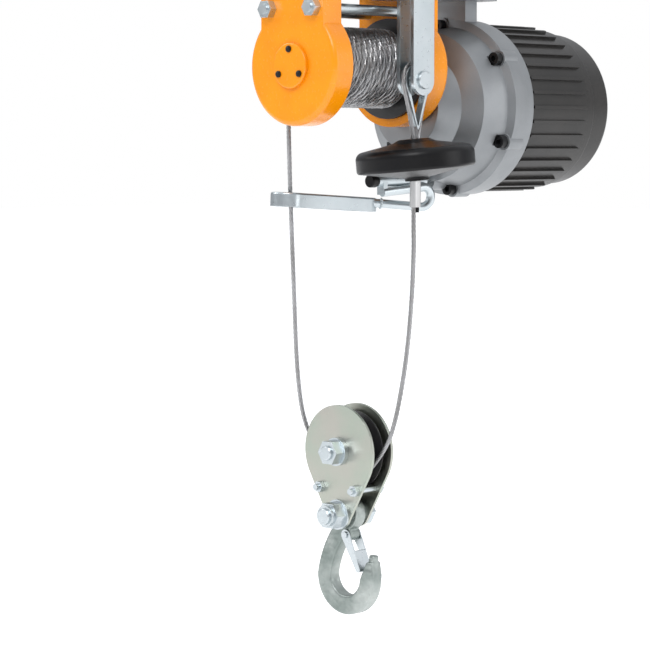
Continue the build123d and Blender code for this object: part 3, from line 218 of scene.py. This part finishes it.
BLACK = (0.006, 0.006, 0.0065)
GREY_DUST = (0.03, 0.026, 0.023)
FINISHES: dict[str, Finish] = {
    "orange": Finish(
        "orange_enamel", (0.82, 0.27, 0.0), (0.68, 0.2, 0.0), 0, 0.26, 0.06, Grain.MOULDED, 4e-5, 260,
        patch=0.6, coat=0.15, level=0.4,
    ),
    "plate_steel": Finish(
        "plated_sheet", (0.44, 0.45, 0.46), (0.34, 0.35, 0.36), 1, 0.34, 0.1, Grain.ROLLED, 3e-5, 700
    ),
    "zinc": Finish("bright_zinc", (0.54, 0.58, 0.6), (0.42, 0.48, 0.5), 1, 0.3, 0.08, Grain.ROLLED, 8e-6, 260),
    "zinc_yellow": Finish(
        "tinted_zinc", (0.4, 0.44, 0.38), (0.48, 0.43, 0.4), 1, 0.33, 0.1, Grain.ROLLED, 3e-5, 420, 0.7
    ),
    # The forged zinc's lighter second colour, at full strength, is partly painted highlight: random lighter
    # spots that stand in for the hook's mottled highlights. The rest is the metal's own uneven tone.
    "forged_zinc": Finish(
        "forged_zinc", (0.22, 0.255, 0.24), (0.5, 0.53, 0.51), 0.9, 0.4, 0.16, Grain.CAST, 6e-4, 300, 1.0
    ),
    "bearing_steel": Finish(
        "ground_steel", (0.5, 0.5, 0.51), (0.4, 0.4, 0.41), 1, 0.2, 0.06, Grain.ROLLED, 1e-5, 900
    ),
    "gear_steel": Finish(
        "oiled_steel", (0.32, 0.31, 0.3), (0.17, 0.15, 0.13), 1, 0.3, 0.1, Grain.ROLLED, 2e-5, 800
    ),
    "drum_steel": Finish("drum_paint", (0.02, 0.02, 0.022), GREY_DUST, 0, 0.4, 0.1, Grain.MOULDED, 5e-5, 300),
    "rope": Finish("wire_rope", (0.4, 0.4, 0.41), (0.22, 0.21, 0.2), 1, 0.36, 0.1, Grain.LAID, 2e-4, 110, 0.8),
    "case_aluminium": Finish(
        "silver_casting", (0.27, 0.28, 0.29), (0.2, 0.21, 0.22), 0.7, 0.4, 0.08, Grain.CAST, 9e-5, 900, 0.7
    ),
    "black_screw": Finish("black_oxide", BLACK, (0.02, 0.02, 0.022), 0.5, 0.38, 0.08, Grain.ROLLED, 2e-5, 800),
    "black_paint": Finish(
        "black_enamel", (0.009, 0.008, 0.007), GREY_DUST, 0, 0.36, 0.08, Grain.MOULDED, 8e-5, 320
    ),
    "core_steel": Finish(
        "varnished_core", (0.14, 0.13, 0.12), (0.2, 0.16, 0.12), 0.6, 0.5, 0.1, Grain.ROLLED, 8e-5, 900
    ),
    "copper": Finish(
        "copper_winding", (0.5, 0.2, 0.08), (0.35, 0.13, 0.05), 0.9, 0.35, 0.1, Grain.LAID, 2e-4, 160
    ),
    "brake_lining": Finish(
        "brake_lining", (0.1, 0.075, 0.055), (0.16, 0.13, 0.1), 0, 0.8, 0.1, Grain.CAST, 1.5e-4, 700
    ),
    "black_plastic": Finish(
        "black_plastic", BLACK, (0.018, 0.018, 0.02), 0, 0.5, 0.08, Grain.CAST, 5e-5, 1400, level=0.35
    ),
    "black_rubber": Finish(
        "black_rubber", (0.003, 0.003, 0.004), (0.01, 0.009, 0.008), 0, 0.34, 0.08, Grain.MOULDED, 6e-5, 380,
        level=0.22,
    ),
    "ferrule_aluminium": Finish(
        "pressed_aluminium", (0.6, 0.6, 0.6), (0.46, 0.45, 0.44), 1, 0.38, 0.08, Grain.ROLLED, 4e-5, 600
    ),
    "sheave_black": Finish(
        "sheave_black", (0.008, 0.008, 0.01), GREY_DUST, 0, 0.3, 0.08, Grain.MOULDED, 4e-5, 300, 0.5, level=0.4
    ),
}


def deselect() -> None:
    """Leaves nothing selected."""
    for thing in bpy.context.selected_objects:
        thing.select_set(False)


def make_active(thing: bpy.types.Object) -> None:
    """Selects one object alone and makes it active.

    Args:
        thing: The object to work on.
    """
    deselect()
    thing.select_set(True)
    bpy.context.view_layer.objects.active = thing


def join(parts: list[bpy.types.Object], name: str) -> bpy.types.Object:
    """Joins mesh objects into one.

    Args:
        parts: Mesh objects, at least one.
        name: The joined object's name.

    Returns:
        The joined object.
    """
    make_active(parts[0])
    for part in parts:
        part.select_set(True)
    if len(parts) > 1:
        bpy.ops.object.join()
    whole = bpy.context.view_layer.objects.active
    whole.name = name
    bpy.ops.object.transform_apply(location=True, rotation=True, scale=True)
    return whole


def smooth(thing: bpy.types.Object, degrees: float = 40) -> None:
    """Shades a mesh smooth below an angle.

    Args:
        thing: The mesh object.
        degrees: The largest angle that is still smooth.
    """
    make_active(thing)
    bpy.ops.object.shade_smooth_by_angle(angle=math.radians(degrees))


def tube(name: str, points: list[Vector], radius: float, roundness: int = 0) -> bpy.types.Object:
    """Makes a closed round tube along a line.

    Args:
        name: The object's name.
        points: The line, close together.
        radius: Radius of the tube.
        roundness: How finely the section is rounded, 0 for four sides.

    Returns:
        The tube as a mesh object.
    """
    curve = bpy.data.curves.new(name, "CURVE")
    curve.dimensions = "3D"
    curve.bevel_depth = radius
    curve.bevel_resolution = roundness
    curve.use_fill_caps = True
    spline = curve.splines.new("POLY")
    spline.points.add(len(points) - 1)
    for place, point in zip(spline.points, points):
        place.co = (*point, 1)
    thing = bpy.data.objects.new(name, curve)
    bpy.context.collection.objects.link(thing)
    make_active(thing)
    bpy.ops.object.convert(target="MESH")
    return bpy.context.view_layer.objects.active


@dataclass
class LaidRope:
    """A wire rope of round strands twisted about one centreline.

    Args:
        name: The piece's name.
        line: Points of the centreline, close together.
        strands: How many strands show round the rope.
        lay: Length of rope for one whole turn of a strand.
        roundness: How finely each strand's section is rounded, 0 for four sides.
        diameter: Diameter of the whole rope.
    """

    name: str
    line: list[Vector]
    strands: int = 6
    lay: float = 30 * MM
    roundness: int = 0
    diameter: float = ROPE_DIAMETER

    @property
    def strand_radius(self) -> float:
        """Radius of one strand, as neighbours touch."""
        ratio = math.sin(math.pi / self.strands)
        return self.diameter / 2 * ratio / (1 + ratio) * 1.04

    def build(self) -> bpy.types.Object:
        """Builds the strands as one mesh.

        Returns:
            The rope's mesh object.
        """
        ring = self.diameter / 2 - self.strand_radius
        normals, travelled = self._frames()
        parts = []
        for strand in range(self.strands):
            phase = 2 * math.pi * strand / self.strands
            points = []
            for centre, (across, up), far in zip(self.line, normals, travelled):
                turn = phase + 2 * math.pi * far / self.lay
                points.append(centre + ring * (math.cos(turn) * across + math.sin(turn) * up))
            parts.append(tube(self.name, points, self.strand_radius, self.roundness))
        parts.append(tube(self.name, self.line, ring, self.roundness))
        rope = join(parts, self.name)
        smooth(rope, 80)
        return rope

    def _frames(self) -> tuple[list[tuple[Vector, Vector]], list[float]]:
        """Steadily carried cross directions and the distance travelled at each point."""
        across = Vector((1, 0, 0))
        frames, travelled, far = [], [], 0.0
        for i, point in enumerate(self.line):
            ahead = self.line[min(i + 1, len(self.line) - 1)] - self.line[max(i - 1, 0)]
            ahead.normalize()
            across = (across - ahead * across.dot(ahead)).normalized()
            frames.append((across.copy(), ahead.cross(across)))
            far += (point - self.line[max(i - 1, 0)]).length
            travelled.append(far)
        return frames, travelled


@dataclass
class RopeWork:
    """The rope falls and the rope wound on the drum."""

    axis_z: float = -77 * MM
    lay_radius: float = 37.5 * MM
    pitch: float = 4.6 * MM
    first_x: float = -118 * MM
    turns: float = 21.0
    steps: int = 60
    finish: bpy.types.Material | None = None

    def centreline(self) -> list[Vector]:
        """Reads the falls' centreline from one open NURBS spline.

        Returns:
            Points along the spline, a couple of millimetres apart.
        """
        curve = bpy.data.curves.new("fall_line", "CURVE")
        curve.dimensions = "3D"
        curve.resolution_u = 24
        spline = curve.splines.new("NURBS")
        spline.points.add(len(FALL_ROUTE) - 1)
        for place, point in zip(spline.points, FALL_ROUTE):
            place.co = (*point, 1)
        spline.order_u = 3
        spline.use_endpoint_u = True
        thing = bpy.data.objects.new("fall_line", curve)
        bpy.context.collection.objects.link(thing)
        bpy.context.view_layer.update()
        mesh = bpy.data.meshes.new_from_object(thing.evaluated_get(bpy.context.evaluated_depsgraph_get()))
        points = [vertex.co.copy() for vertex in mesh.vertices]
        bpy.data.objects.remove(thing)
        return points

    def falls(self) -> bpy.types.Object:
        """Builds the two falls, which run between the frame above and the block below.

        Returns:
            The rope piece.
        """
        line = self.centreline()
        rope = LaidRope("rope_falls_laid", line, roundness=1).build()
        rope.data.materials.append(self.finish)
        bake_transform(rope)
        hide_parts("rope_falls")
        return rope

    def wound(self) -> bpy.types.Object:
        """Builds the turns on the drum as one helix.

        Returns:
            The wound rope piece.
        """
        line = []
        count = int(self.turns * self.steps)
        for i in range(count + 1):
            turn = 2 * math.pi * i / self.steps
            x = self.first_x + self.pitch * turn / (2 * math.pi)
            y = self.lay_radius * math.cos(turn)
            z = self.axis_z + self.lay_radius * math.sin(turn)
            line.append(Vector((x, y, z)))
        rope = LaidRope("rope_wound_laid", line, lay=36 * MM).build()
        rope.data.materials.append(self.finish)
        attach(rope, "drum")
        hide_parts("drum_rope")
        return rope


    def eye(self) -> bpy.types.Object:
        """Builds the eye round the thimble, with both its legs down to the ferrule.

        Returns:
            The rope eye piece.
        """
        centre = Vector((-42, -63, -90)) * MM
        radius, leg, foot, ferrule = 17.5 * MM, 2.5 * MM, -143 * MM, -188 * MM
        corners = [centre + Vector((-leg, 0, ferrule - centre.z)), centre + Vector((-leg, 0, foot - centre.z))]
        for step in range(25):
            turn = math.radians(197 - 214 * step / 24)
            corners.append(centre + radius * Vector((math.cos(turn), 0, math.sin(turn))))
        corners.append(centre + Vector((leg, 0, foot - centre.z)))
        corners.append(centre + Vector((leg, 0, ferrule - centre.z)))
        rope = LaidRope("rope_eye_laid", eased(corners, 4), roundness=1).build()
        rope.data.materials.append(self.finish)
        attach(rope, "frame")
        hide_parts("rope_eye")
        return rope

    def tail(self, sleeve: bpy.types.Material) -> bpy.types.Object:
        """Builds the short dead end below the ferrule.

        Args:
            sleeve: The dark finish of the served end.

        Returns:
            The rope tail piece.
        """
        low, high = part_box("rope_tail")
        middle = (low + high) / 2
        line = [Vector((middle.x, middle.y, high.z + (low.z - high.z) * i / 24)) for i in range(25)]
        rope = LaidRope("rope_tail_laid", line, roundness=1).build()
        rope.data.materials.append(sleeve)
        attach(rope, "frame")
        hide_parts("rope_tail")
        return rope


def eased(points: list[Vector], rounds: int) -> list[Vector]:
    """Cuts the corners of a line, again and again, and keeps its two ends.

    Args:
        points: The line's corner points.
        rounds: How many times the corners are cut.

    Returns:
        The points of the rounder line.
    """
    for _ in range(rounds):
        cut = [points[0]]
        for near, far in zip(points, points[1:]):
            cut += [near.lerp(far, 0.25), near.lerp(far, 0.75)]
        points = cut + [points[-1]]
    return points


@dataclass
class ForgedPiece:
    """A piece whose hard edges are worked round, as by drop forging.

    Args:
        node: The CAD node that it stands for.
        body: The body that it rides on.
        cell: Size of the surface cells.
        passes: How many times the surface is eased.
        bosses: Start, end and radius of each round boss on it.
    """

    node: str
    body: str
    cell: float = 0.8 * MM
    passes: int = 10
    bosses: tuple[tuple[Point, Point, float], ...] = ()

    def _bosses(self) -> list[bpy.types.Object]:
        """Round bosses that stand on the body, each from one point to another."""
        made = []
        for start, end, radius in self.bosses:
            span = Vector(end) - Vector(start)
            middle = (Vector(end) + Vector(start)) / 2
            turn = span.to_track_quat("Z", "Y").to_euler()
            bpy.ops.mesh.primitive_cylinder_add(
                vertices=40, radius=radius, depth=span.length, location=middle, rotation=turn
            )
            made.append(bpy.context.object)
        return made

    def build(self, finish: bpy.types.Material) -> bpy.types.Object:
        """Makes the rounded piece from the node's outline.

        Args:
            finish: The material it is dressed in.

        Returns:
            The new piece, in place of the node.
        """
        source = frame["nodes"][self.node]
        piece = bpy.data.objects.new(self.node + "_body", source.data.copy())
        bpy.context.collection.objects.link(piece)
        piece = join([piece] + self._bosses(), self.node + "_forged")
        make_active(piece)
        cells = piece.modifiers.new("cells", "REMESH")
        cells.mode = "VOXEL"
        cells.voxel_size = self.cell
        ease = piece.modifiers.new("ease", "SMOOTH")
        ease.factor = 0.5
        ease.iterations = self.passes
        for modifier in (cells, ease):
            bpy.ops.object.modifier_apply(modifier=modifier.name)
        piece.data.materials.clear()
        piece.data.materials.append(finish)
        bpy.ops.object.shade_smooth()
        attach(piece, self.body)
        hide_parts(self.node)
        return piece


@dataclass
class SmallParts:
    """Little pieces that the CAD leaves out: cap screws, a pin clip, the latch spring and weld beads."""

    zinc: bpy.types.Material
    black: bpy.types.Material

    def _keep(self, piece: bpy.types.Object, body: str, finish: bpy.types.Material) -> None:
        piece.data.materials.clear()
        piece.data.materials.append(finish)
        smooth(piece)
        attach(piece, body)

    def cap_screws(self, count: int = 3, ring: float = 16 * MM) -> None:
        """Socket screws on the bearing cap.

        Args:
            count: How many screws.
            ring: Radius of their circle.
        """
        lowest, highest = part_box("bearing_cap")
        middle = (lowest + highest) / 2
        screws = []
        for i in range(count):
            angle = 2 * math.pi * i / count + math.pi / 2
            spot = (lowest.x - 0.2 * MM, ring * math.cos(angle), middle.z + ring * math.sin(angle))
            bpy.ops.mesh.primitive_cylinder_add(
                vertices=32, radius=3.2 * MM, depth=3 * MM, location=spot, rotation=(0, -math.pi / 2, 0)
            )
            screw = bpy.context.object
            bpy.ops.object.mode_set(mode="EDIT")
            bpy.ops.mesh.select_all(action="SELECT")
            bpy.ops.mesh.bevel(offset=0.4 * MM, segments=2)
            bpy.ops.object.mode_set(mode="OBJECT")
            screws.append(screw)
        self._keep(join(screws, "cap_screws"), "frame", self.black)

    def pin_clip(self) -> None:
        """A split ring on the back end of the anchor pin."""
        lowest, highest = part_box("anchor_pin")
        middle = (lowest + highest) / 2
        bpy.ops.mesh.primitive_torus_add(
            major_radius=6.4 * MM, minor_radius=0.8 * MM, major_segments=48, minor_segments=10,
            location=(middle.x, highest.y - 2.2 * MM, middle.z), rotation=(math.pi / 2, 0, 0),
        )
        self._keep(join([bpy.context.object], "pin_clip"), "frame", self.black)

    def latch_spring(self, turns: int = 4, wire: float = 0.7 * MM, radius: float = 3.1 * MM) -> None:
        """The spring coiled round the latch pin.

        Args:
            turns: How many coils.
            wire: Diameter of the wire.
            radius: Radius of the coil's centreline.
        """
        lowest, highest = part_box("latch_pin")
        middle = (lowest + highest) / 2
        line = []
        for i in range(turns * 16 + 1):
            turn = 2 * math.pi * i / 16
            x = highest.x - 0.1 * MM - wire * turn / (2 * math.pi) * 1.05
            line.append(Vector((x, middle.y + radius * math.cos(turn), middle.z + radius * math.sin(turn))))
        spring = tube("latch_spring", line, wire / 2)
        self._keep(join([spring], "latch_spring"), "hook", self.zinc)

    def weld_bead(self, count: int = 14) -> None:
        """The bead of weld round the rod where it meets the end of the rope guide.

        Args:
            count: How many ripples the bead has.
        """
        along = Vector((52, -32.5, -5.5)).normalized()
        across = along.orthogonal().normalized()
        upward = along.cross(across)
        middle = Vector((-2.6, 19.9, -212.3)) * MM
        beads = []
        for i in range(count):
            turn = 2 * math.pi * i / count
            spot = middle + (math.cos(turn) * across + math.sin(turn) * upward) * 4.7 * MM
            bpy.ops.mesh.primitive_uv_sphere_add(segments=16, ring_count=8, radius=1.3 * MM, location=spot)
            beads.append(bpy.context.object)
        self._keep(join(beads, "weld_bead"), "lever", self.zinc)


@dataclass
class Studio:
    """Floor, soft lights and the camera."""

    eye: Point = (-1.8014, -1.6505, -0.1542)
    yaw: float = 45.8
    pitch: float = 4.24
    lens: float = 133.6
    floor_z: float = -0.70

    def build(self) -> None:
        """Sets up the whole studio."""
        self._floor()
        self._light("key", (-1.9, -1.2, 1.6), 1.2, 34)
        self._light("fill", (1.2, -2.2, 0.3), 1.4, 12)
        self._light("back", (-1.2, 1.6, 0.9), 1.2, 14)
        self._surroundings()
        bpy.context.scene.view_settings.view_transform = "Standard"
        self._camera()

    def _surroundings(self) -> None:
        """A room that is pale above and darker below and towards the sides, and plain white to the camera."""
        world = bpy.data.worlds.new("studio")
        world.use_nodes = True
        tree = world.node_tree
        place = tree.nodes.new("ShaderNodeTexCoord")
        parts = tree.nodes.new("ShaderNodeSeparateXYZ")
        shade = tree.nodes.new("ShaderNodeValToRGB")
        span = tree.nodes.new("ShaderNodeMapRange")
        span.inputs["From Min"].default_value = -1
        stops = shade.color_ramp.elements
        stops[0].position, stops[0].color = 0.3, (0.16, 0.16, 0.17, 1)
        stops[1].position, stops[1].color = 0.85, (0.95, 0.97, 1.0, 1)
        middle = stops.new(0.52)
        middle.color = (0.3, 0.31, 0.33, 1)
        seen = tree.nodes.new("ShaderNodeLightPath")
        choice = tree.nodes.new("ShaderNodeMix")
        choice.data_type = "RGBA"
        choice.inputs[7].default_value = (1, 1, 1, 1)
        tree.links.new(place.outputs["Generated"], parts.inputs["Vector"])
        tree.links.new(parts.outputs["Z"], span.inputs["Value"])
        tree.links.new(span.outputs["Result"], shade.inputs["Fac"])
        tree.links.new(seen.outputs["Is Camera Ray"], choice.inputs[0])
        tree.links.new(shade.outputs["Color"], choice.inputs[6])
        tree.links.new(choice.outputs[2], tree.nodes["Background"].inputs["Color"])
        bpy.context.scene.world = world

    def _floor(self) -> None:
        bpy.ops.mesh.primitive_plane_add(size=30, location=(0, 0, self.floor_z))
        floor = bpy.context.object
        floor.name = "floor"
        paper = bpy.data.materials.new("paper")
        paper.use_nodes = True
        shader = paper.node_tree.nodes["Principled BSDF"]
        shader.inputs["Base Color"].default_value = (0.86, 0.86, 0.86, 1)
        shader.inputs["Roughness"].default_value = 0.9
        shader.inputs["Emission Color"].default_value = (1, 1, 1, 1)
        shader.inputs["Emission Strength"].default_value = 0.45
        floor.data.materials.append(paper)

    def _light(self, name: str, place: Point, size: float, power: float) -> None:
        lamp = bpy.data.lights.new(name, "AREA")
        lamp.size = size
        lamp.energy = power
        thing = bpy.data.objects.new(name, lamp)
        thing.location = place
        aim = Vector((0, 0, -0.25)) - thing.location
        thing.rotation_euler = aim.to_track_quat("-Z", "Y").to_euler()
        bpy.context.collection.objects.link(thing)

    def _camera(self) -> None:
        lens = bpy.data.cameras.new("camera")
        lens.lens = self.lens
        lens.sensor_width = 36
        camera = bpy.data.objects.new("camera", lens)
        camera.location = self.eye
        camera.rotation_euler = (math.radians(90 - self.pitch), 0, -math.radians(self.yaw))
        bpy.context.collection.objects.link(camera)
        bpy.context.scene.camera = camera


HOOK_BOSSES = (
    ((-0.08, -0.0425, -0.57), (-0.08, -0.0438, -0.5565), 4.6 * MM),
    ((-0.0875, -0.0425, -0.5765), (-0.0725, -0.0425, -0.5765), 5.4 * MM),
)


def dress_nodes() -> tuple[dict[str, bpy.types.Material], dict[str, str]]:
    """Gives every CAD node its finish.

    Returns:
        Material slot name to material, and node name to material slot name.
    """
    made = {slot: finish.build() for slot, finish in FINISHES.items()}
    slots = {entry["node"]: entry["material_slot"] for entry in frame["record"]["subparts"]}
    for node, slot in slots.items():
        piece = frame["nodes"][node]
        piece.data.materials.clear()
        piece.data.materials.append(made[slot])
    return made, slots


def main() -> None:
    """Builds the whole scene."""
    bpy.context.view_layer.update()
    finishes, slots = dress_nodes()
    ropes = RopeWork(finish=finishes["rope"])
    ropes.falls()
    ropes.wound()
    ropes.eye()
    ropes.tail(finishes[slots["rope_tail"]])
    ForgedPiece("hook", "hook", bosses=HOOK_BOSSES).build(finishes["forged_zinc"])
    small = SmallParts(finishes["zinc"], finishes["black_screw"])
    small.cap_screws()
    small.pin_clip()
    small.latch_spring()
    small.weld_bead()
    Studio().build()


if __name__ == "__main__":
    main()
